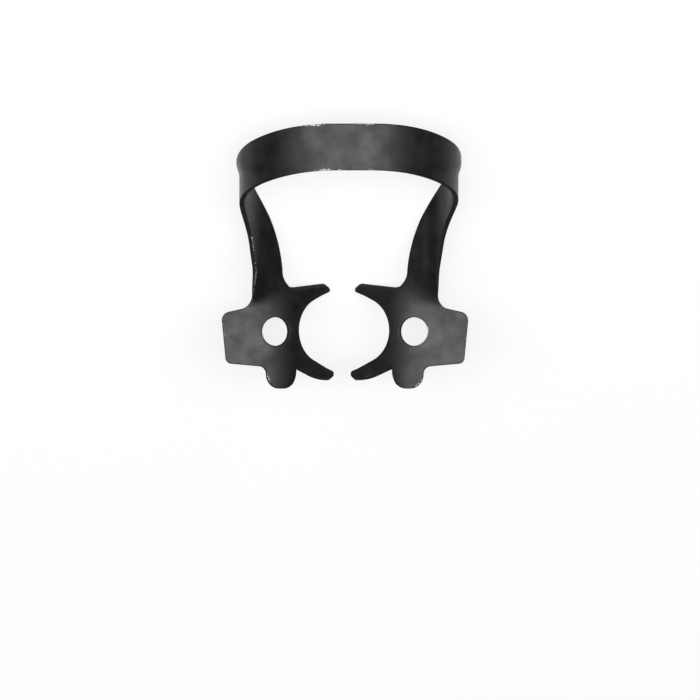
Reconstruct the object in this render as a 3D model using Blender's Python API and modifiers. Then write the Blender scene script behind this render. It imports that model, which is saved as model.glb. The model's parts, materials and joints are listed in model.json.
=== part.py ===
"""Rubber dam clamp: one piece of spring steel sheet, stamped flat, pierced and bent.

The clamp is drawn as the flat blank, one half of it, and every point of the blank is then carried
onto the bent surface. Two bends meet in it: the bow with its legs, and the jaws with their wings.
On the blank, u runs from the middle of the bow along the sheet to the tip of a jaw, and y runs
across the band. On the bent clamp, X is across the mouth of the jaws, Y points from the jaws to
the bow and Z is up, with the origin between the forceps holes, level with the wings' upper face.
The finished clamp lies on the ground on its prong tips and legs, as it comes to rest by itself.

Sizes are in millimetres and angles in degrees. The mesh is made in metres.
"""

import math

import bmesh
import bpy
import numpy as np
from mathutils import Matrix, Vector

METRE = 1000.0

# Sheet
SHEET = 0.6
EDGE_BREAK = 0.05

# Bow and legs, bent
BOW_RISE = 15.1
CROWN_RADIUS = 14.8
CROWN_ANGLE = 45.4
SIDE_RADIUS = 6.6
REVERSE_RADIUS = 1.4
BOW_SPLAY = 0.4
SPLAY_START = 17.55
SPLAY_END = 19.1

# Bow and legs, flat
BOW_REACH = 23.5
BOW_WIDTH = 5.3
BOW_SWEEP = 28.2
FAR_SHOULDER = 8.95
NEAR_SHOULDER = 9.8
FAR_SHOULDER_RADIUS = 28.0
NEAR_SHOULDER_RADIUS = 33.0
LEG_WIDTH = 4.45
LEG_ROOT_WIDTH = 3.336
LEG_PAST_BEND = 1.2
LEG_ROOT_PAST_BEND = 2.322
LEG_OUTER_RADIUS = 7.0
LEG_INNER_RADIUS = 21.0
LEG_ROOT_RADIUS = 2.5

# Jaws and wings, bent
JAW_SLOPE = 36.0
JAW_BREAK = 7.65
WING_BEND_RADIUS = 10.0
WING_BEND_START = 2.6
WING_BEND_END = 7.6

# Wings
WING_SPAN = 28.2
WING_FRONT = 3.62
WING_FRONT_ROOT = 4.03
WING_BACK = 2.05
WING_BACK_ROOT = 2.87
WING_TAPER = 0.55
WING_ROOT_RADIUS = 1.3
WING_BACK_CORNER = 1.0
WING_FRONT_CORNER = 0.7

# Forceps holes and the round tabs in front of them
HOLE_SPACING = 15.78
HOLE_DIAMETER = 3.25
TAB_OFFSET = 0.74
TAB_REACH = 6.5
TAB_RADIUS = 1.83
TAB_WING_RADIUS = 1.0
TAB_PRONG_RADIUS = 0.35

# Jaws
BIGHT_RADIUS = 3.724
BIGHT_SPAN = 10.55
BIGHT_BACK = 0.15
BACK_TIP_GAP = 3.135
BACK_TIP_REACH = 5.55
BACK_TIP_WIDTH = 0.9
BACK_ROOT_REACH = 4.9
FRONT_TIP_GAP = 2.2
FRONT_TIP_REACH = 5.58
FRONT_TIP_WIDTH = 0.93
FRONT_ROOT_REACH = 4.2
FRONT_TIP_LENGTH = 2.1
FRONT_PRONG_RADIUS = 7.0
BACK_TIP_OUTER_RADIUS = 0.85
BACK_TIP_INNER_RADIUS = 0.4
FRONT_TIP_RADIUS = 0.5
GROUND_WIDTH = 0.35
GROUND_FADE = 1.4
GROUND_RUN_IN = 1.5

# Fineness of the mesh
ARC_STEP = 14.0
ARC_CHORD = 0.6
SLICE = 0.75
BEND_ROWS = 7
LEVEL_WITHIN = 1.0
SHARP_FROM = 30.0
MERGE_WITHIN = 0.01

CLAMP_NAME = "rubber_dam_clamp"
BODY_NAME = "clamp_body"
BLACK_COAT = (0.035, 0.035, 0.037, 1.0)
COAT_ROUGHNESS = 0.5
COAT_METALLIC = 0.0


class BentLine:
    """The middle line of bent sheet: straight runs and arcs that follow on from each other."""

    def __init__(self, start, heading, runs):
        self.runs = []
        x, z = start
        along = 0.0
        for length, curvature in runs:
            self.runs.append((along, x, z, heading, curvature))
            x, z, heading = self.advance(x, z, heading, curvature, length)
            along += length

    @staticmethod
    def advance(x, z, heading, curvature, length):
        if curvature == 0.0:
            return x + length * math.cos(heading), z + length * math.sin(heading), heading
        turned = heading + curvature * length
        x += (math.sin(turned) - math.sin(heading)) / curvature
        z += (math.cos(heading) - math.cos(turned)) / curvature
        return x, z, turned

    def at(self, along):
        """The place x, z at a length along the line. The first and last runs go on past the ends."""
        run = self.runs[0]
        for candidate in self.runs[1:]:
            if candidate[0] <= along:
                run = candidate
        begin, x, z, heading, curvature = run
        x, z, _ = self.advance(x, z, heading, curvature, along - begin)
        return x, z


def clamp_lines():
    """The bow's line, the jaw's line, and the length along the bow's line to the middle plane."""
    slope = math.radians(JAW_SLOPE)
    crown_turn = math.radians(CROWN_ANGLE)
    crown = CROWN_RADIUS - SHEET / 2
    side = SIDE_RADIUS - SHEET / 2
    middle_level = -SHEET / 2

    # The jaws' straight part, as a point and an outward direction along its middle line.
    jaw_point = Vector((JAW_BREAK, 0.0)) + Vector((math.sin(slope), -math.cos(slope))) * SHEET / 2
    jaw_out = Vector((math.cos(slope), math.sin(slope)))
    jaw_up = Vector((-math.sin(slope), math.cos(slope)))

    # The reverse bend touches the side arc and the jaws' straight part.
    side_centre = Vector(((crown - side) * math.sin(crown_turn),
                          BOW_RISE - SHEET / 2 - crown + (crown - side) * math.cos(crown_turn)))
    below = jaw_point - jaw_up * REVERSE_RADIUS - side_centre
    reach = below.dot(jaw_out)
    reverse_centre = below - jaw_out * (
        reach + math.sqrt(reach ** 2 - below.length_squared + (side + REVERSE_RADIUS) ** 2))
    touch_slope = math.atan2(reverse_centre.x, -reverse_centre.y)
    jaw_start = side_centre + reverse_centre + jaw_up * REVERSE_RADIUS

    crown_length = crown * crown_turn
    side_length = side * (math.pi - crown_turn - touch_slope)
    reverse_length = REVERSE_RADIUS * (slope - touch_slope)
    jaw_length = jaw_start.x / math.cos(slope)
    bow = BentLine((0.0, BOW_RISE - SHEET / 2), 0.0, [
        (crown_length, -1 / crown),
        (side_length, -1 / side),
        (reverse_length, 1 / REVERSE_RADIUS),
        (jaw_length, 0.0)])

    corner = jaw_point + jaw_out * ((middle_level - jaw_point.y) / math.sin(slope))
    straight = corner.x / math.cos(slope) - WING_BEND_RADIUS * math.tan(slope / 2)
    jaw = BentLine((0.0, jaw_point.y - jaw_point.x * math.tan(slope)), slope, [
        (straight, 0.0),
        (WING_BEND_RADIUS * slope, -1 / WING_BEND_RADIUS),
        (WING_SPAN, 0.0)])

    bend_end = crown_length + side_length + reverse_length
    return bow, jaw, bend_end, bend_end + jaw_length


BOW_LINE, JAW_LINE, BEND_END, BLANK_HALF = clamp_lines()


def unfold(half_width):
    """The place u on the blank that lies half_width from the middle plane on the bent jaw."""
    near, far = 0.0, 2 * WING_SPAN
    for _ in range(60):
        middle = (near + far) / 2
        if JAW_LINE.at(middle)[0] < half_width:
            near = middle
        else:
            far = middle
    return BLANK_HALF - near


def ease(value, start, end):
    """Zero up to start and one from end on, with a smooth rise between them."""
    share = min(max((value - start) / (end - start), 0.0), 1.0)
    return share * share * (3 - 2 * share)


def middle_surface(u, y):
    """The bent place of a point of the blank's middle layer."""
    bow_x, bow_z = BOW_LINE.at(u)
    jaw_x, jaw_z = JAW_LINE.at(BLANK_HALF - u)
    bow_x *= 1 + BOW_SPLAY / (WING_SPAN / 2) * ease(y, SPLAY_START, SPLAY_END)
    bow_share = ease(y, WING_BEND_START, WING_BEND_END)
    return Vector((bow_x, y, bow_z)).lerp(Vector((jaw_x, y, jaw_z)), 1 - bow_share)


def ground(u, y, height):
    """The place y after grinding, which slants the prongs' outer edges on their upper side."""
    root = BEND_END + LEG_ROOT_PAST_BEND
    shoulder = unfold(FRONT_TIP_GAP / 2) - FRONT_TIP_LENGTH
    tip = unfold(BACK_TIP_GAP / 2)
    if y > 0:
        edge = BACK_ROOT_REACH + (BACK_TIP_REACH - BACK_ROOT_REACH) * (u - root) / (tip - root)
    else:
        rise = min((u - root) / (shoulder - root), 1.0)
        edge = FRONT_ROOT_REACH + (FRONT_TIP_REACH - FRONT_ROOT_REACH) * rise
    nearness = max(0.0, 1 - abs(edge - abs(y)) / GROUND_FADE)
    upper_share = 0.5 - height / SHEET
    cut = GROUND_WIDTH * upper_share * nearness * ease(u, root, root + GROUND_RUN_IN)
    return y - math.copysign(cut, y)


def bend(point):
    """Carry a point of the flat blank, as thick as the sheet, onto the bent clamp."""
    u, y, height = point
    y = ground(u, y, height)
    step = SHEET / 100
    along_u = middle_surface(u + step, y) - middle_surface(u - step, y)
    along_y = middle_surface(u, y + step) - middle_surface(u, y - step)
    return middle_surface(u, y) + along_u.cross(along_y).normalized() * height


def arc(centre, radius, start, end):
    """Points on an arc, its ends included. Angles are in radians and may run either way."""
    steps = max(2, math.ceil(abs(end - start) / math.radians(ARC_STEP)),
                math.ceil(abs(end - start) * radius / (4 * ARC_CHORD)))
    angles = [start + (end - start) * i / steps for i in range(steps + 1)]
    return [centre + Vector((math.cos(a), math.sin(a))) * radius for a in angles]


def rounded(corners):
    """A closed outline through corners (u, y, radius), each rounded as far as its sides allow."""
    count = len(corners)
    places = [Vector((u, y)) for u, y, _ in corners]
    sides = [places[(i + 1) % count] - places[i] for i in range(count)]
    halves = [(-sides[i - 1]).angle(sides[i]) / 2 for i in range(count)]
    touches = [corner[2] / math.tan(half) for corner, half in zip(corners, halves)]
    points = []
    for i, place in enumerate(places):
        if touches[i] < EDGE_BREAK:
            points.append(place)
            continue
        before, after = -sides[i - 1], sides[i]
        touch = touches[i] * min(1.0, 0.98 * before.length / (touches[i] + touches[i - 1]),
                                 0.98 * after.length / (touches[i] + touches[(i + 1) % count]))
        towards = before.normalized() + after.normalized()
        centre = place + towards.normalized() * touch / math.cos(halves[i])
        first = place + before.normalized() * touch - centre
        last = place + after.normalized() * touch - centre
        start = math.atan2(first.y, first.x)
        points += arc(centre, first.length, start, start - first.angle_signed(last))
    return points


def bight(back_tip, front_tip):
    """The round opening for the tooth, with straight runs from it that touch both tips."""
    centre = Vector((unfold(BIGHT_SPAN / 2) + BIGHT_RADIUS, BIGHT_BACK))
    to_back = back_tip - centre
    to_front = front_tip - centre
    start = math.atan2(to_back.y, to_back.x) + math.acos(min(1.0, BIGHT_RADIUS / to_back.length))
    end = math.atan2(to_front.y, to_front.x) - math.acos(min(1.0, BIGHT_RADIUS / to_front.length))
    return arc(centre, BIGHT_RADIUS, start, end + 2 * math.pi)


def half_blank_outline():
    """The right half of the blank, from the middle of the bow round the jaw and wing and back."""
    sweep = math.tan(math.radians(BOW_SWEEP))
    over_middle = -SLICE
    bow_near = BOW_REACH - BOW_WIDTH
    leg_inner = BEND_END + LEG_PAST_BEND
    leg_outer = leg_inner - LEG_WIDTH
    leg_root = BEND_END + LEG_ROOT_PAST_BEND
    tab = unfold(HOLE_SPACING / 2) + TAB_OFFSET
    back_tip = Vector((unfold(BACK_TIP_GAP / 2), BACK_TIP_REACH - BACK_TIP_WIDTH))
    front_tip = Vector((unfold(FRONT_TIP_GAP / 2), FRONT_TIP_WIDTH - FRONT_TIP_REACH))
    wing_end = unfold(WING_SPAN / 2)
    corners = [
        (over_middle, BOW_REACH, 0.0),
        (FAR_SHOULDER, BOW_REACH, FAR_SHOULDER_RADIUS),
        (leg_inner, BOW_REACH - (leg_inner - FAR_SHOULDER) * sweep, LEG_INNER_RADIUS),
        (leg_root, BACK_ROOT_REACH, LEG_ROOT_RADIUS),
        (back_tip.x, BACK_TIP_REACH, BACK_TIP_OUTER_RADIUS),
        (*back_tip, BACK_TIP_INNER_RADIUS)]
    corners += [(*point, 0.0) for point in bight(back_tip, front_tip)]
    corners += [
        (*front_tip, FRONT_TIP_RADIUS),
        (front_tip.x, -FRONT_TIP_REACH, FRONT_TIP_RADIUS),
        (front_tip.x - FRONT_TIP_LENGTH, -FRONT_TIP_REACH, FRONT_PRONG_RADIUS),
        (tab + TAB_RADIUS, -FRONT_ROOT_REACH, TAB_PRONG_RADIUS),
        (tab + TAB_RADIUS, -TAB_REACH, TAB_RADIUS),
        (tab - TAB_RADIUS, -TAB_REACH, TAB_RADIUS),
        (tab - TAB_RADIUS, -WING_FRONT_ROOT, TAB_WING_RADIUS),
        (wing_end + WING_TAPER, -WING_FRONT, WING_FRONT_CORNER),
        (wing_end, WING_BACK, WING_BACK_CORNER),
        (leg_root - LEG_ROOT_WIDTH, WING_BACK_ROOT, WING_ROOT_RADIUS),
        (leg_outer, bow_near - (leg_outer - NEAR_SHOULDER) * sweep, LEG_OUTER_RADIUS),
        (NEAR_SHOULDER, bow_near, NEAR_SHOULDER_RADIUS),
        (over_middle, bow_near, 0.0)]
    return rounded(corners)


def add_outline(curve, points):
    spline = curve.splines.new("POLY")
    spline.points.add(len(points) - 1)
    for spline_point, (u, y) in zip(spline.points, points):
        spline_point.co = (u, y, 0.0, 1.0)
    spline.use_cyclic_u = True


def flat_blank(collection):
    """The pierced half blank as a solid mesh with its edges broken, still flat."""
    curve = bpy.data.curves.new("blank_outline", "CURVE")
    curve.dimensions = "2D"
    curve.fill_mode = "BOTH"
    curve.extrude = SHEET / 2 - EDGE_BREAK
    curve.bevel_depth = EDGE_BREAK
    curve.bevel_resolution = 0
    curve.offset = -EDGE_BREAK
    hole_centre = Vector((unfold(HOLE_SPACING / 2), 0.0))
    add_outline(curve, half_blank_outline())
    add_outline(curve, arc(hole_centre, HOLE_DIAMETER / 2, 0.0, 2 * math.pi)[:-1])
    guide = bpy.data.objects.new("blank_outline", curve)
    collection.objects.link(guide)
    bpy.context.view_layer.update()
    evaluated = guide.evaluated_get(bpy.context.evaluated_depsgraph_get())
    mesh = bpy.data.meshes.new_from_object(evaluated)
    bpy.data.objects.remove(guide)
    blank = bmesh.new()
    blank.from_mesh(mesh)
    bpy.data.meshes.remove(mesh)
    bmesh.ops.remove_doubles(blank, verts=blank.verts, dist=SHEET / 1000)
    return blank


def slice_blank(blank):
    """Cut the blank's faces along the lines where it will bend, and clear it past the middle."""
    def everything():
        return blank.verts[:] + blank.edges[:] + blank.faces[:]

    columns = math.ceil(BLANK_HALF / SLICE)
    cuts = [(Vector((BLANK_HALF * i / columns, 0.0, 0.0)), Vector((1.0, 0.0, 0.0)))
            for i in range(1, columns)]
    cuts += [(Vector((0.0, WING_BEND_START + (WING_BEND_END - WING_BEND_START) * i / BEND_ROWS, 0.0)),
              Vector((0.0, 1.0, 0.0))) for i in range(BEND_ROWS + 1)]
    bmesh.ops.bisect_plane(blank, geom=everything(), plane_co=(0.0, 0.0, 0.0),
                           plane_no=(1.0, 0.0, 0.0), clear_inner=True, dist=SHEET / 1000)
    for place, normal in cuts:
        cut = bmesh.ops.bisect_plane(blank, geom=everything(), plane_co=place, plane_no=normal,
                                     dist=SHEET / 1000)
        for piece in cut["geom_cut"]:
            if isinstance(piece, bmesh.types.BMEdge):
                piece.seam = True
    bmesh.ops.dissolve_limit(blank, angle_limit=math.radians(LEVEL_WITHIN), delimit={"SEAM"},
                             verts=blank.verts[:], edges=blank.edges[:])


def coat_material():
    material = bpy.data.materials.new("black_coat")
    material.use_nodes = True
    shader = material.node_tree.nodes["Principled BSDF"]
    shader.inputs["Base Color"].default_value = BLACK_COAT
    shader.inputs["Roughness"].default_value = COAT_ROUGHNESS
    shader.inputs["Metallic"].default_value = COAT_METALLIC
    return material


def make_clamp(collection):
    """The bent half and its mirror image, as one piece."""
    blank = flat_blank(collection)
    slice_blank(blank)
    for vertex in blank.verts:
        vertex.co = bend(vertex.co) / METRE
    bmesh.ops.recalc_face_normals(blank, faces=blank.faces[:])
    mesh = bpy.data.meshes.new(BODY_NAME)
    blank.to_mesh(mesh)
    blank.free()
    mesh.materials.append(coat_material())
    mesh.shade_smooth()
    mesh.set_sharp_from_angle(angle=math.radians(SHARP_FROM))
    clamp = bpy.data.objects.new(BODY_NAME, mesh)
    collection.objects.link(clamp)
    mirror = clamp.modifiers.new("Mirror", "MIRROR")
    mirror.use_axis = (True, False, False)
    mirror.use_clip = True
    mirror.merge_threshold = MERGE_WITHIN / METRE
    return clamp


def resting_tilt(mesh):
    """The turn about X that lays the clamp on the ground side that carries its weight.

    Seen along X, the clamp's outline has one lower side with the centre of weight above it. The
    points at that side's two ends come in pairs, left and right, so the clamp stands on both.
    """
    places = np.array([vertex.co for vertex in mesh.vertices], dtype=float)
    areas = np.array([face.area for face in mesh.polygons])
    centres = np.array([face.center for face in mesh.polygons])
    weight_y = np.average(centres[:, 1], weights=areas)
    lower = []
    for y, z in sorted({(place[1], place[2]) for place in places}):
        while len(lower) > 1 and ((lower[-1][0] - lower[-2][0]) * (z - lower[-2][1])
                                  <= (lower[-1][1] - lower[-2][1]) * (y - lower[-2][0])):
            lower.pop()
        lower.append((y, z))
    for (near_y, near_z), (far_y, far_z) in zip(lower, lower[1:]):
        if near_y <= weight_y <= far_y:
            return -math.atan2(far_z - near_z, far_y - near_y)
    return 0.0


def lay_down(clamp):
    """Turn the clamp to the way it rests, stand it on the ground and centre it there."""
    bpy.context.view_layer.update()
    mesh = clamp.evaluated_get(bpy.context.evaluated_depsgraph_get()).to_mesh()
    turn = Matrix.Rotation(resting_tilt(mesh), 4, "X")
    places = np.array([turn @ vertex.co for vertex in mesh.vertices])
    low, high = places.min(axis=0), places.max(axis=0)
    clamp.rotation_euler = turn.to_euler()
    clamp.location = (-(low[0] + high[0]) / 2, -(low[1] + high[1]) / 2, -low[2])


def main():
    for leftover in list(bpy.data.objects):
        bpy.data.objects.remove(leftover)
    collection = bpy.data.collections.new(CLAMP_NAME)
    bpy.context.scene.collection.children.link(collection)
    lay_down(make_clamp(collection))


main()
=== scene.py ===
"""The looks of the rubber dam clamp: black coated spring steel on a pale floor under a soft lamp.

The clamp is made again here with fine, rounded edges, the way its solid is made: a flat pierced
blank is bent. Sizes are in millimetres and angles in degrees, and the mesh is made in metres.
On the blank, u runs from the middle of the bow along the sheet to the tip of a jaw, and y runs
across the band.
"""

import json
import math

import bmesh
import bpy
from mathutils import Matrix, Vector
from mathutils.bvhtree import BVHTree


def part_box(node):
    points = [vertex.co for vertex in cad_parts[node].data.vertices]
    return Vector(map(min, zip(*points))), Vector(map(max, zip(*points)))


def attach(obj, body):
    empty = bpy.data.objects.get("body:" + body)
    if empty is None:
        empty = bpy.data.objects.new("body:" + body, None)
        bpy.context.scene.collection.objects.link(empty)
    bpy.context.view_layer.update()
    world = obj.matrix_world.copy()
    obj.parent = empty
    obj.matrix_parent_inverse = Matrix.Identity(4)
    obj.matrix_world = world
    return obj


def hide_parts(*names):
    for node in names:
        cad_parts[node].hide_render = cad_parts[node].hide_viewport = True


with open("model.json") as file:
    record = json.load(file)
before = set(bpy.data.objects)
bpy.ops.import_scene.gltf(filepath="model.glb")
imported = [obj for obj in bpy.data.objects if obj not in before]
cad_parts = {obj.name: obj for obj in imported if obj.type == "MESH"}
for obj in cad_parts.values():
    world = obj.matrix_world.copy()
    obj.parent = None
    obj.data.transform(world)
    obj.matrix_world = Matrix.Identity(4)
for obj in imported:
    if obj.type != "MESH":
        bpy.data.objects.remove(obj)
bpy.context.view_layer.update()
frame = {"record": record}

METRE = 1000.0

# Sheet
SHEET = 0.6
EDGE_RADIUS = 0.07
EDGE_STEPS = 2

# Bow and legs, bent
BOW_RISE = 15.1
CROWN_RADIUS = 14.8
CROWN_ANGLE = 45.4
SIDE_RADIUS = 6.6
REVERSE_RADIUS = 1.4
BOW_SPLAY = 0.4
SPLAY_START = 17.55
SPLAY_END = 19.1

# Bow and legs, flat
BOW_REACH = 23.5
BOW_WIDTH = 5.3
BOW_SWEEP = 28.2
FAR_SHOULDER = 8.95
NEAR_SHOULDER = 9.8
FAR_SHOULDER_RADIUS = 28.0
NEAR_SHOULDER_RADIUS = 33.0
LEG_WIDTH = 4.45
LEG_ROOT_WIDTH = 3.336
LEG_PAST_BEND = 1.2
LEG_ROOT_PAST_BEND = 2.322
LEG_OUTER_RADIUS = 7.0
LEG_INNER_RADIUS = 21.0
LEG_ROOT_RADIUS = 2.5

# Jaws and wings, bent
JAW_SLOPE = 36.0
JAW_BREAK = 7.65
WING_BEND_RADIUS = 10.0
WING_BEND_START = 2.6
WING_BEND_END = 7.6

# Wings
WING_SPAN = 28.2
WING_FRONT = 3.62
WING_FRONT_ROOT = 4.03
WING_BACK = 2.05
WING_BACK_ROOT = 2.87
WING_TAPER = 0.55
WING_ROOT_RADIUS = 1.3
WING_BACK_CORNER = 1.0
WING_FRONT_CORNER = 0.7

# Forceps holes and the round tabs in front of them
HOLE_SPACING = 15.78
HOLE_DIAMETER = 3.25
TAB_OFFSET = 0.74
TAB_REACH = 6.5
TAB_RADIUS = 1.83
TAB_WING_RADIUS = 1.0
TAB_PRONG_RADIUS = 0.35

# Jaws
BIGHT_RADIUS = 3.724
BIGHT_SPAN = 10.55
BIGHT_BACK = 0.15
BACK_TIP_GAP = 3.135
BACK_TIP_REACH = 5.55
BACK_TIP_WIDTH = 0.9
BACK_ROOT_REACH = 4.9
FRONT_TIP_GAP = 2.2
FRONT_TIP_REACH = 5.58
FRONT_TIP_WIDTH = 0.93
FRONT_ROOT_REACH = 4.2
FRONT_TIP_LENGTH = 2.1
FRONT_PRONG_RADIUS = 7.0
BACK_TIP_OUTER_RADIUS = 0.85
BACK_TIP_INNER_RADIUS = 0.4
FRONT_TIP_RADIUS = 0.5
GROUND_WIDTH = 0.35
GROUND_FADE = 1.4
GROUND_RUN_IN = 1.5

# Fineness of the mesh
ARC_STEP = 5.0
ARC_CHORD = 0.15
SLICE = 0.3
LEVEL_WITHIN = 0.5
MERGE_WITHIN = 0.01
CUT_WITHIN = SHEET / 1000
PROBE = SHEET / 100
ROW_SHIFT = 0.37
HALVINGS = 60
TOUCH_SHARE = 0.98

CAD_NODE = "clamp_body"
WING_FACE = "wing_face_right"
LEVEL_MARK = "sheet_level"
RIM_MARK = "from_rim"
WEAR_MARK = "wear"
RIM_TILT = 0.99

# Where the coat is worn off the edges: x, y, z, how far the wear reaches and how strong it is
WORN_PLACES = (
    (-3.2, 18.4, 15.1, 4.4, 0.8),
    (2.0, 18.3, 15.0, 2.6, 0.5),
    (-4.6, 23.3, 14.6, 4.4, 0.8),
    (1.6, 23.5, 15.0, 5.0, 0.66),
    (-11.2, 10.4, 2.2, 3.8, 0.8),
    (-10.5, 6.4, 0.7, 3.8, 0.95),
    (-10.3, 3.0, 0.0, 2.0, 0.5),
    (10.6, 6.0, 0.8, 2.8, 0.6),
    (-8.5, -5.3, -0.6, 1.6, 0.9),
    (8.2, -5.8, -0.6, 1.8, 0.7),
    (9.5, 0.1, -0.4, 1.2, 0.7),
    (-13.7, 0.0, 0.0, 5.0, 0.45),
    (-12.0, -3.6, 0.0, 2.5, 0.45),
    (13.9, -1.0, 0.0, 4.5, 0.5),
    (-4.5, -4.6, -3.0, 2.2, 0.45),
    (2.8, -4.4, -3.8, 2.4, 0.7),
)

# Black coat and the bare steel under it
COAT_DARK = (0.0035, 0.0035, 0.0036, 1.0)
COAT_PALE = (0.0075, 0.0075, 0.0076, 1.0)
COAT_ROUGH_LOW = 0.27
COAT_ROUGH_HIGH = 0.44
COAT_SPECULAR = 0.32
WALL_ROUGH = 0.9
BARE_STEEL = (0.5, 0.5, 0.51, 1.0)
STEEL_ROUGH = 0.42
CLOUD_RANGE = (0.38, 0.62)
ROUGH_RANGE = (0.55, 0.85)
PIT_SHARE = 0.4
PIT_HEIGHT = 0.004
TEAR_HEIGHT = 0.03

# Noise patterns: features to a millimetre, detail and roughness
MOTTLE_NOISE = (0.5, 5.0, 0.55)
CLOUD_NOISE = (0.8, 3.0, 0.5)
PIT_NOISE = (9.0, 3.0, 0.6)
TEAR_NOISE = (6.5, 3.0, 0.7)

# Specks of bare steel
SPECK_GAIN = 0.42
SPECK_START = 0.76
SPECK_BLUR = 0.05
SPECK_FACE_FALL = 1.0
SPECK_WALL_FALL = 0.35

# Floor and light
FLOOR_SIZE = 4.0
FLOOR_GRAIN = 40.0
FLOOR_ROUGH = 0.9
FLOOR_WHITE = (0.97, 0.97, 0.97, 1.0)
FLOOR_PALE = (0.92, 0.92, 0.92, 1.0)
PAPER_WHITE = (1.0, 1.0, 1.0, 1.0)
WORLD_COLOUR = (0.15, 0.15, 0.15, 1.0)
SHADOW_SHARE = 0.22

# Soft lamps above the wings, each one's distance, its reach to either side in
# degrees seen from the clamp, and its radiance
LAMPS = (
    ("softbox", 0.50, (35.0, 12.0), 4.2),
    ("softbox_rim", 0.52, (46.0, 15.0), 1.4),
    ("softbox_glow", 0.54, (58.0, 18.0), 0.7),
)

# Camera, in the photograph's pixels
FRAME_PIXELS = 700
PIXEL = 0.1136
ORIGIN_PIXEL = (345.2, 331.5)
CAMERA_YAW = 4.0
CAMERA_DISTANCE = 3.0
SENSOR = 36.0
CLIP = (0.01, 10.0)


class BentLine:
    """The middle line of bent sheet: straight runs and arcs that follow on from each other."""

    def __init__(self, start, heading, runs):
        self.runs = []
        x, z = start
        along = 0.0
        for length, curvature in runs:
            self.runs.append((along, x, z, heading, curvature))
            x, z, heading = self.advance(x, z, heading, curvature, length)
            along += length

    @staticmethod
    def advance(x, z, heading, curvature, length):
        if curvature == 0.0:
            return x + length * math.cos(heading), z + length * math.sin(heading), heading
        turned = heading + curvature * length
        x += (math.sin(turned) - math.sin(heading)) / curvature
        z += (math.cos(heading) - math.cos(turned)) / curvature
        return x, z, turned

    def at(self, along):
        """The place x, z at a length along the line.

        The first and last runs go on past the ends.
        """
        run = self.runs[0]
        for candidate in self.runs[1:]:
            if candidate[0] <= along:
                run = candidate
        begin, x, z, heading, curvature = run
        x, z, _ = self.advance(x, z, heading, curvature, along - begin)
        return x, z


def clamp_lines():
    """The bow's line, the jaw's line, and the length along the bow's line to the middle plane."""
    slope = math.radians(JAW_SLOPE)
    crown_turn = math.radians(CROWN_ANGLE)
    crown = CROWN_RADIUS - SHEET / 2
    side = SIDE_RADIUS - SHEET / 2
    middle_level = -SHEET / 2

    # The jaws' straight part, as a point and an outward direction along its middle line.
    jaw_point = Vector((JAW_BREAK, 0.0)) + Vector((math.sin(slope), -math.cos(slope))) * SHEET / 2
    jaw_out = Vector((math.cos(slope), math.sin(slope)))
    jaw_up = Vector((-math.sin(slope), math.cos(slope)))

    # The reverse bend touches the side arc and the jaws' straight part.
    side_centre = Vector(((crown - side) * math.sin(crown_turn),
                          BOW_RISE - SHEET / 2 - crown + (crown - side) * math.cos(crown_turn)))
    below = jaw_point - jaw_up * REVERSE_RADIUS - side_centre
    reach = below.dot(jaw_out)
    reverse_centre = below - jaw_out * (
        reach + math.sqrt(reach ** 2 - below.length_squared + (side + REVERSE_RADIUS) ** 2))
    touch_slope = math.atan2(reverse_centre.x, -reverse_centre.y)
    jaw_start = side_centre + reverse_centre + jaw_up * REVERSE_RADIUS

    crown_length = crown * crown_turn
    side_length = side * (math.pi - crown_turn - touch_slope)
    reverse_length = REVERSE_RADIUS * (slope - touch_slope)
    jaw_length = jaw_start.x / math.cos(slope)
    bow = BentLine((0.0, BOW_RISE - SHEET / 2), 0.0, [
        (crown_length, -1 / crown),
        (side_length, -1 / side),
        (reverse_length, 1 / REVERSE_RADIUS),
        (jaw_length, 0.0)])

    corner = jaw_point + jaw_out * ((middle_level - jaw_point.y) / math.sin(slope))
    straight = corner.x / math.cos(slope) - WING_BEND_RADIUS * math.tan(slope / 2)
    jaw = BentLine((0.0, jaw_point.y - jaw_point.x * math.tan(slope)), slope, [
        (straight, 0.0),
        (WING_BEND_RADIUS * slope, -1 / WING_BEND_RADIUS),
        (WING_SPAN, 0.0)])

    bend_end = crown_length + side_length + reverse_length
    return bow, jaw, bend_end, bend_end + jaw_length


BOW_LINE, JAW_LINE, BEND_END, BLANK_HALF = clamp_lines()


def unfold(half_width):
    """The place u on the blank that lies half_width from the middle plane on the bent jaw."""
    near, far = 0.0, 2 * WING_SPAN
    for _ in range(HALVINGS):
        middle = (near + far) / 2
        if JAW_LINE.at(middle)[0] < half_width:
            near = middle
        else:
            far = middle
    return BLANK_HALF - near


def ease(value, start, end):
    """Zero up to start and one from end on, with a smooth rise between them."""
    share = min(max((value - start) / (end - start), 0.0), 1.0)
    return share * share * (3 - 2 * share)


def middle_surface(u, y):
    """The bent place of a point of the blank's middle layer."""
    bow_x, bow_z = BOW_LINE.at(u)
    jaw_x, jaw_z = JAW_LINE.at(BLANK_HALF - u)
    bow_x *= 1 + BOW_SPLAY / (WING_SPAN / 2) * ease(y, SPLAY_START, SPLAY_END)
    bow_share = ease(y, WING_BEND_START, WING_BEND_END)
    return Vector((bow_x, y, bow_z)).lerp(Vector((jaw_x, y, jaw_z)), 1 - bow_share)


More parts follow.
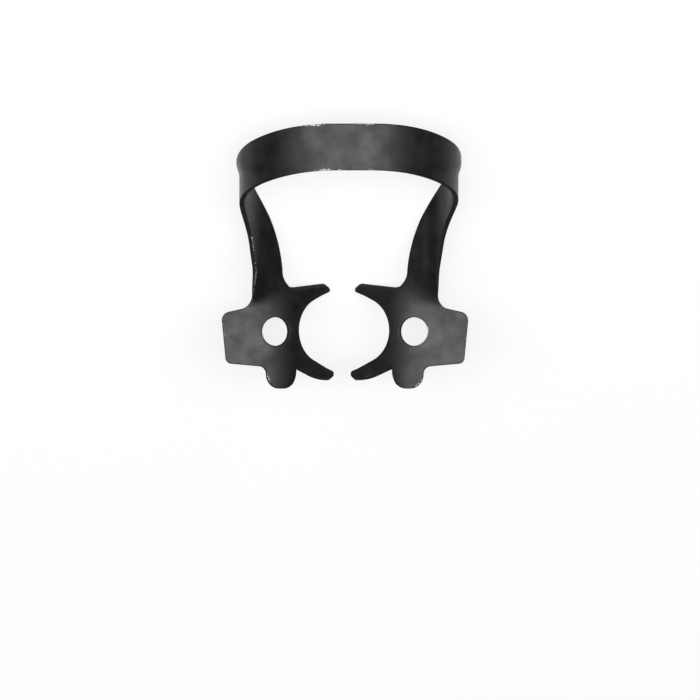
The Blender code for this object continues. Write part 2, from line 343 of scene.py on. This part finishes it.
def ground(u, y, height):
    """The place y after grinding, which slants the prongs' outer edges on their upper side."""
    root = BEND_END + LEG_ROOT_PAST_BEND
    shoulder = unfold(FRONT_TIP_GAP / 2) - FRONT_TIP_LENGTH
    tip = unfold(BACK_TIP_GAP / 2)
    if y > 0:
        edge = BACK_ROOT_REACH + (BACK_TIP_REACH - BACK_ROOT_REACH) * (u - root) / (tip - root)
    else:
        rise = min((u - root) / (shoulder - root), 1.0)
        edge = FRONT_ROOT_REACH + (FRONT_TIP_REACH - FRONT_ROOT_REACH) * rise
    nearness = max(0.0, 1 - abs(edge - abs(y)) / GROUND_FADE)
    upper_share = 0.5 - height / SHEET
    cut = GROUND_WIDTH * upper_share * nearness * ease(u, root, root + GROUND_RUN_IN)
    return y - math.copysign(cut, y)


def bend(point):
    """Carry a point of the flat blank, as thick as the sheet, onto the bent clamp."""
    u, y, height = point
    y = ground(u, y, height)
    step = PROBE
    along_u = middle_surface(u + step, y) - middle_surface(u - step, y)
    along_y = middle_surface(u, y + step) - middle_surface(u, y - step)
    return middle_surface(u, y) + along_u.cross(along_y).normalized() * height


def arc(centre, radius, start, end):
    """Points on an arc, its ends included. Angles are in radians and may run either way."""
    steps = max(2, math.ceil(abs(end - start) / math.radians(ARC_STEP)),
                math.ceil(abs(end - start) * radius / (4 * ARC_CHORD)))
    angles = [start + (end - start) * i / steps for i in range(steps + 1)]
    return [centre + Vector((math.cos(a), math.sin(a))) * radius for a in angles]


def rounded(corners):
    """A closed outline through corners (u, y, radius), each rounded as far as its sides allow."""
    count = len(corners)
    places = [Vector((u, y)) for u, y, _ in corners]
    sides = [places[(i + 1) % count] - places[i] for i in range(count)]
    halves = [(-sides[i - 1]).angle(sides[i]) / 2 for i in range(count)]
    touches = [corner[2] / math.tan(half) for corner, half in zip(corners, halves)]
    points = []
    for i, place in enumerate(places):
        if touches[i] < EDGE_RADIUS:
            points.append(place)
            continue
        before, after = -sides[i - 1], sides[i]
        room_before = TOUCH_SHARE * before.length / (touches[i] + touches[i - 1])
        room_after = TOUCH_SHARE * after.length / (touches[i] + touches[(i + 1) % count])
        touch = touches[i] * min(1.0, room_before, room_after)
        towards = before.normalized() + after.normalized()
        centre = place + towards.normalized() * touch / math.cos(halves[i])
        first = place + before.normalized() * touch - centre
        last = place + after.normalized() * touch - centre
        start = math.atan2(first.y, first.x)
        points += arc(centre, first.length, start, start - first.angle_signed(last))
    return points


def bight(back_tip, front_tip):
    """The round opening for the tooth, with straight runs from it that touch both tips."""
    centre = Vector((unfold(BIGHT_SPAN / 2) + BIGHT_RADIUS, BIGHT_BACK))
    to_back = back_tip - centre
    to_front = front_tip - centre
    start = math.atan2(to_back.y, to_back.x) + math.acos(min(1.0, BIGHT_RADIUS / to_back.length))
    end = math.atan2(to_front.y, to_front.x) - math.acos(min(1.0, BIGHT_RADIUS / to_front.length))
    return arc(centre, BIGHT_RADIUS, start, end + 2 * math.pi)


def half_blank_outline():
    """The right half of the blank, from the middle of the bow round the jaw and wing and back."""
    sweep = math.tan(math.radians(BOW_SWEEP))
    over_middle = -SLICE
    bow_near = BOW_REACH - BOW_WIDTH
    leg_inner = BEND_END + LEG_PAST_BEND
    leg_outer = leg_inner - LEG_WIDTH
    leg_root = BEND_END + LEG_ROOT_PAST_BEND
    tab = unfold(HOLE_SPACING / 2) + TAB_OFFSET
    back_tip = Vector((unfold(BACK_TIP_GAP / 2), BACK_TIP_REACH - BACK_TIP_WIDTH))
    front_tip = Vector((unfold(FRONT_TIP_GAP / 2), FRONT_TIP_WIDTH - FRONT_TIP_REACH))
    wing_end = unfold(WING_SPAN / 2)
    corners = [
        (over_middle, BOW_REACH, 0.0),
        (FAR_SHOULDER, BOW_REACH, FAR_SHOULDER_RADIUS),
        (leg_inner, BOW_REACH - (leg_inner - FAR_SHOULDER) * sweep, LEG_INNER_RADIUS),
        (leg_root, BACK_ROOT_REACH, LEG_ROOT_RADIUS),
        (back_tip.x, BACK_TIP_REACH, BACK_TIP_OUTER_RADIUS),
        (*back_tip, BACK_TIP_INNER_RADIUS)]
    corners += [(*point, 0.0) for point in bight(back_tip, front_tip)]
    corners += [
        (*front_tip, FRONT_TIP_RADIUS),
        (front_tip.x, -FRONT_TIP_REACH, FRONT_TIP_RADIUS),
        (front_tip.x - FRONT_TIP_LENGTH, -FRONT_TIP_REACH, FRONT_PRONG_RADIUS),
        (tab + TAB_RADIUS, -FRONT_ROOT_REACH, TAB_PRONG_RADIUS),
        (tab + TAB_RADIUS, -TAB_REACH, TAB_RADIUS),
        (tab - TAB_RADIUS, -TAB_REACH, TAB_RADIUS),
        (tab - TAB_RADIUS, -WING_FRONT_ROOT, TAB_WING_RADIUS),
        (wing_end + WING_TAPER, -WING_FRONT, WING_FRONT_CORNER),
        (wing_end, WING_BACK, WING_BACK_CORNER),
        (leg_root - LEG_ROOT_WIDTH, WING_BACK_ROOT, WING_ROOT_RADIUS),
        (leg_outer, bow_near - (leg_outer - NEAR_SHOULDER) * sweep, LEG_OUTER_RADIUS),
        (NEAR_SHOULDER, bow_near, NEAR_SHOULDER_RADIUS),
        (over_middle, bow_near, 0.0)]
    return rounded(corners)


def add_outline(curve, points):
    spline = curve.splines.new("POLY")
    spline.points.add(len(points) - 1)
    for spline_point, (u, y) in zip(spline.points, points):
        spline_point.co = (u, y, 0.0, 1.0)
    spline.use_cyclic_u = True


def flat_blank():
    """The pierced half blank as a solid mesh with rounded edges, still flat."""
    curve = bpy.data.curves.new("blank_outline", "CURVE")
    curve.dimensions = "2D"
    curve.fill_mode = "BOTH"
    curve.extrude = SHEET / 2 - EDGE_RADIUS
    curve.bevel_depth = EDGE_RADIUS
    curve.bevel_resolution = EDGE_STEPS
    curve.offset = -EDGE_RADIUS
    hole_centre = Vector((unfold(HOLE_SPACING / 2), 0.0))
    add_outline(curve, half_blank_outline())
    add_outline(curve, arc(hole_centre, HOLE_DIAMETER / 2, 0.0, 2 * math.pi)[:-1])
    guide = bpy.data.objects.new("blank_outline", curve)
    bpy.context.scene.collection.objects.link(guide)
    bpy.context.view_layer.update()
    evaluated = guide.evaluated_get(bpy.context.evaluated_depsgraph_get())
    mesh = bpy.data.meshes.new_from_object(evaluated)
    bpy.data.objects.remove(guide)
    blank = bmesh.new()
    blank.from_mesh(mesh)
    bpy.data.meshes.remove(mesh)
    bmesh.ops.remove_doubles(blank, verts=blank.verts, dist=CUT_WITHIN)
    return blank


def slice_blank(blank):
    """Cut the blank's faces into fine squares, and clear it past the middle."""
    def everything():
        return blank.verts[:] + blank.edges[:] + blank.faces[:]

    columns = math.ceil(BLANK_HALF / SLICE)
    rows = math.ceil((BOW_REACH + TAB_REACH) / SLICE)
    cuts = [(Vector((BLANK_HALF * i / columns, 0.0, 0.0)), Vector((1.0, 0.0, 0.0)))
            for i in range(1, columns)]
    cuts += [(Vector((0.0, -TAB_REACH + (BOW_REACH + TAB_REACH) * (i + ROW_SHIFT) / rows, 0.0)),
              Vector((0.0, 1.0, 0.0))) for i in range(rows)]
    bmesh.ops.bisect_plane(blank, geom=everything(), plane_co=(0.0, 0.0, 0.0),
                           plane_no=(1.0, 0.0, 0.0), clear_inner=True, dist=CUT_WITHIN)
    for place, normal in cuts:
        cut = bmesh.ops.bisect_plane(blank, geom=everything(), plane_co=place, plane_no=normal,
                                     dist=CUT_WITHIN)
        for piece in cut["geom_cut"]:
            if isinstance(piece, bmesh.types.BMEdge):
                piece.seam = True
    bmesh.ops.dissolve_limit(blank, angle_limit=math.radians(LEVEL_WITHIN), delimit={"SEAM"},
                             verts=blank.verts[:], edges=blank.edges[:])


def mark_rim(blank):
    """Note each point's level in the sheet, 1 or -1 on its faces, and its distance from the rim."""
    level = blank.verts.layers.float.new(LEVEL_MARK)
    from_rim = blank.verts.layers.float.new(RIM_MARK)
    blank.normal_update()
    blank.verts.index_update()
    rim_faces = [[vertex.index for vertex in face.verts] for face in blank.faces
                 if abs(face.normal.z) < RIM_TILT]
    rim = BVHTree.FromPolygons([vertex.co for vertex in blank.verts], rim_faces)
    for vertex in blank.verts:
        vertex[level] = vertex.co.z / (SHEET / 2)
        vertex[from_rim] = rim.find_nearest(vertex.co)[3]


def fine_mesh():
    """Both halves of the bent clamp as one mesh, in the clamp's own frame."""
    blank = flat_blank()
    slice_blank(blank)
    mark_rim(blank)
    for vertex in blank.verts:
        vertex.co = bend(vertex.co) / METRE
    bmesh.ops.recalc_face_normals(blank, faces=blank.faces[:])
    half = bpy.data.meshes.new("half_clamp")
    blank.to_mesh(half)
    blank.free()
    guide = bpy.data.objects.new("half_clamp", half)
    bpy.context.scene.collection.objects.link(guide)
    mirror = guide.modifiers.new("Mirror", "MIRROR")
    mirror.use_clip = True
    mirror.merge_threshold = MERGE_WITHIN / METRE
    bpy.context.view_layer.update()
    depsgraph = bpy.context.evaluated_depsgraph_get()
    mesh = bpy.data.meshes.new_from_object(guide.evaluated_get(depsgraph))
    bpy.data.objects.remove(guide)
    mesh.name = "clamp_surface"
    mesh.shade_smooth()
    return mesh


def mark_wear(mesh):
    """Note how worn the edges are at each point, from 0 to 1, by the places in WORN_PLACES."""
    layer = mesh.attributes.new(WEAR_MARK, "FLOAT", "POINT")
    for vertex, mark in zip(mesh.vertices, layer.data):
        place = vertex.co * METRE
        mark.value = max(0.0, *(strength * (1 - (place - Vector(centre)).length / reach)
                                for *centre, reach, strength in WORN_PLACES))


def resting_place(mesh):
    """The turn and shift that lay the clamp as its solid lies, by the wing's face in the record."""
    face = next(m for m in frame["record"]["mounts"] if m["name"] == WING_FACE)
    turn = Matrix.Rotation(-math.atan2(face["axis"][1], face["axis"][2]), 4, "X")
    places = [turn @ vertex.co for vertex in mesh.vertices]
    low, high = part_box(CAD_NODE)
    middle = (low + high) / 2
    own_middle = [(min(place[i] for place in places) + max(place[i] for place in places)) / 2
                  for i in range(3)]
    return Matrix.Translation(middle - Vector(own_middle)) @ turn


class Nodes:
    """Short calls for building one material's nodes."""

    def __init__(self, name):
        self.material = bpy.data.materials.new(name)
        self.material.use_nodes = True
        self.tree = self.material.node_tree
        self.shader = self.tree.nodes["Principled BSDF"]

    def add(self, kind, inputs=(), **settings):
        node = self.tree.nodes.new(kind)
        for key, value in settings.items():
            setattr(node, key, value)
        for key, value in dict(inputs).items():
            self.feed(node, key, value)
        return node

    def feed(self, node, key, value):
        if isinstance(value, bpy.types.NodeSocket):
            self.tree.links.new(value, node.inputs[key])
        else:
            node.inputs[key].default_value = value

    def noise(self, where, scale, detail=2.0, roughness=0.5):
        node = self.add("ShaderNodeTexNoise", {"Vector": where, "Scale": scale, "Detail": detail,
                                               "Roughness": roughness})
        return node.outputs["Fac"]

    def mark(self, name):
        return self.add("ShaderNodeAttribute", attribute_name=name).outputs["Fac"]

    def spread(self, value, low, high, to_low=0.0, to_high=1.0):
        node = self.add("ShaderNodeMapRange", {"Value": value, "From Min": low, "From Max": high,
                                               "To Min": to_low, "To Max": to_high})
        return node.outputs["Result"]

    def math(self, operation, first, second):
        node = self.add("ShaderNodeMath", {0: first, 1: second}, operation=operation)
        return node.outputs["Value"]

    def mix_colour(self, share, first, second):
        node = self.add("ShaderNodeMix", data_type="RGBA")
        self.feed(node, 0, share)
        self.feed(node, 6, first)
        self.feed(node, 7, second)
        return node.outputs[2]

    def mix_value(self, share, first, second):
        node = self.add("ShaderNodeMix", {0: share, 2: first, 3: second}, data_type="FLOAT")
        return node.outputs[0]


def coat_material():
    """Satin black coat, clouded and finely pitted, worn to bright steel in specks along edges."""
    nodes = Nodes("black_coat")
    in_metres = nodes.add("ShaderNodeTexCoord").outputs["Object"]
    place = nodes.add("ShaderNodeVectorMath", {0: in_metres, "Scale": METRE},
                      operation="SCALE").outputs["Vector"]
    signed_level = nodes.mark(LEVEL_MARK)
    level = nodes.math("MAXIMUM", signed_level, nodes.math("MULTIPLY", signed_level, -1.0))
    wall = nodes.spread(level, 1.0, 1 - EDGE_RADIUS / (SHEET / 2))

    mottle = nodes.noise(place, *MOTTLE_NOISE)
    cloud = nodes.noise(place, *CLOUD_NOISE)
    pits = nodes.noise(place, *PIT_NOISE)
    tears = nodes.noise(place, *TEAR_NOISE)
    coat = nodes.mix_colour(nodes.spread(cloud, *CLOUD_RANGE), COAT_DARK, COAT_PALE)
    texture = nodes.math("ADD", mottle, nodes.math("MULTIPLY", pits, PIT_SHARE))
    coat_rough = nodes.spread(texture, *ROUGH_RANGE, COAT_ROUGH_LOW, COAT_ROUGH_HIGH)

    on_face = nodes.math("MULTIPLY", nodes.mark(RIM_MARK), SPECK_FACE_FALL)
    on_wall = nodes.spread(level, 1.0, 0.0, 0.0, SPECK_WALL_FALL)
    from_edge = nodes.math("ADD", on_face, on_wall)
    worn = nodes.math("ADD", tears, nodes.math("MULTIPLY", nodes.mark(WEAR_MARK), SPECK_GAIN))
    speck = nodes.spread(nodes.math("SUBTRACT", worn, from_edge),
                         SPECK_START, SPECK_START + SPECK_BLUR)

    nodes.feed(nodes.shader, "Base Color", nodes.mix_colour(speck, coat, BARE_STEEL))
    nodes.feed(nodes.shader, "Metallic", speck)
    nodes.feed(nodes.shader, "Roughness", nodes.mix_value(
        speck, nodes.mix_value(wall, coat_rough, WALL_ROUGH), STEEL_ROUGH))
    nodes.feed(nodes.shader, "Specular IOR Level", COAT_SPECULAR)

    height = nodes.mix_value(wall, nodes.math("MULTIPLY", pits, PIT_HEIGHT),
                             nodes.math("MULTIPLY", tears, TEAR_HEIGHT))
    bump = nodes.add("ShaderNodeBump", {"Height": height, "Distance": 1 / METRE, "Strength": 1.0})
    nodes.feed(nodes.shader, "Normal", bump.outputs["Normal"])
    return nodes.material


def make_clamp():
    """The whole clamp, and the place of its own frame in the scene."""
    mesh = fine_mesh()
    mark_wear(mesh)
    mesh.materials.append(coat_material())
    place = resting_place(mesh)
    mesh.transform(place)
    clamp = bpy.data.objects.new("fine_clamp", mesh)
    bpy.context.scene.collection.objects.link(clamp)
    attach(clamp, "root")
    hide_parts(CAD_NODE)
    return place


def make_floor():
    bpy.ops.mesh.primitive_plane_add(size=FLOOR_SIZE)
    floor = bpy.context.object
    floor.name = "floor"
    nodes = Nodes("floor_white")
    place = nodes.add("ShaderNodeTexCoord").outputs["Object"]
    grain = nodes.noise(place, FLOOR_GRAIN)
    nodes.feed(nodes.shader, "Base Color",
               nodes.mix_colour(grain, FLOOR_WHITE, FLOOR_PALE))
    nodes.feed(nodes.shader, "Roughness", FLOOR_ROUGH)
    nodes.feed(nodes.shader, "Specular IOR Level", 0.0)
    path = nodes.add("ShaderNodeLightPath").outputs
    seen = nodes.math("ADD", nodes.math("ADD", path["Is Camera Ray"], path["Is Glossy Ray"]),
                      path["Is Transmission Ray"])
    paper = nodes.add("ShaderNodeEmission", {"Color": PAPER_WHITE, "Strength": 1.0})
    mixed = nodes.add("ShaderNodeMixShader", {0: nodes.math("MULTIPLY", seen, 1 - SHADOW_SHARE),
                                              1: nodes.shader.outputs["BSDF"],
                                              2: paper.outputs["Emission"]})
    surface = nodes.tree.nodes["Material Output"].inputs["Surface"]
    nodes.tree.links.new(mixed.outputs["Shader"], surface)
    floor.data.materials.append(nodes.material)


def aim(thing, place, back, up):
    """Put a lamp or camera at a place, with its back and its top in the given directions."""
    side = up.cross(back).normalized()
    top = back.cross(side).normalized()
    rotation = Matrix((side, top, back)).transposed().to_4x4()
    thing.matrix_world = Matrix.Translation(place) @ rotation


def add_lamp(name, target, back, up, distance, reach, radiance):
    """A soft rectangular lamp that sends the given radiance towards the target."""
    lamp = bpy.data.lights.new(name, "AREA")
    lamp.shape = "RECTANGLE"
    lamp.size, lamp.size_y = (2 * distance * math.tan(math.radians(angle)) for angle in reach)
    lamp.energy = radiance * math.pi * lamp.size * lamp.size_y
    thing = bpy.data.objects.new(name, lamp)
    bpy.context.scene.collection.objects.link(thing)
    thing.visible_camera = False
    aim(thing, target + back * distance, back, up)


def light_scene(view):
    """Soft light from behind the camera that fades towards both sides, in a dim studio."""
    world = bpy.data.worlds.new("studio")
    bpy.context.scene.world = world
    world.use_nodes = True
    background = world.node_tree.nodes["Background"]
    background.inputs["Color"].default_value = WORLD_COLOUR
    background.inputs["Strength"].default_value = 1.0
    _, up, back = view.to_3x3().col
    for name, distance, reach, radiance in LAMPS:
        add_lamp(name, view.translation, back, up, distance, reach, radiance)


def add_camera(view):
    """The photograph looks straight down on the wings, from a long way off."""
    data = bpy.data.cameras.new("camera")
    pixel = PIXEL / METRE
    data.sensor_width = SENSOR
    data.lens = SENSOR * CAMERA_DISTANCE / (FRAME_PIXELS * pixel)
    data.clip_start, data.clip_end = CLIP
    camera = bpy.data.objects.new("camera", data)
    bpy.context.scene.collection.objects.link(camera)
    side, up, back = view.to_3x3().col
    middle = FRAME_PIXELS / 2
    aside = side * (middle - ORIGIN_PIXEL[0]) + up * (ORIGIN_PIXEL[1] - middle)
    aim(camera, view.translation + aside * pixel + back * CAMERA_DISTANCE, back, up)
    bpy.context.scene.camera = camera


place = make_clamp()
make_floor()
view = place @ Matrix.Rotation(-math.radians(CAMERA_YAW), 4, "Y")
light_scene(view)
add_camera(view)
bpy.context.scene.view_settings.view_transform = "Standard"
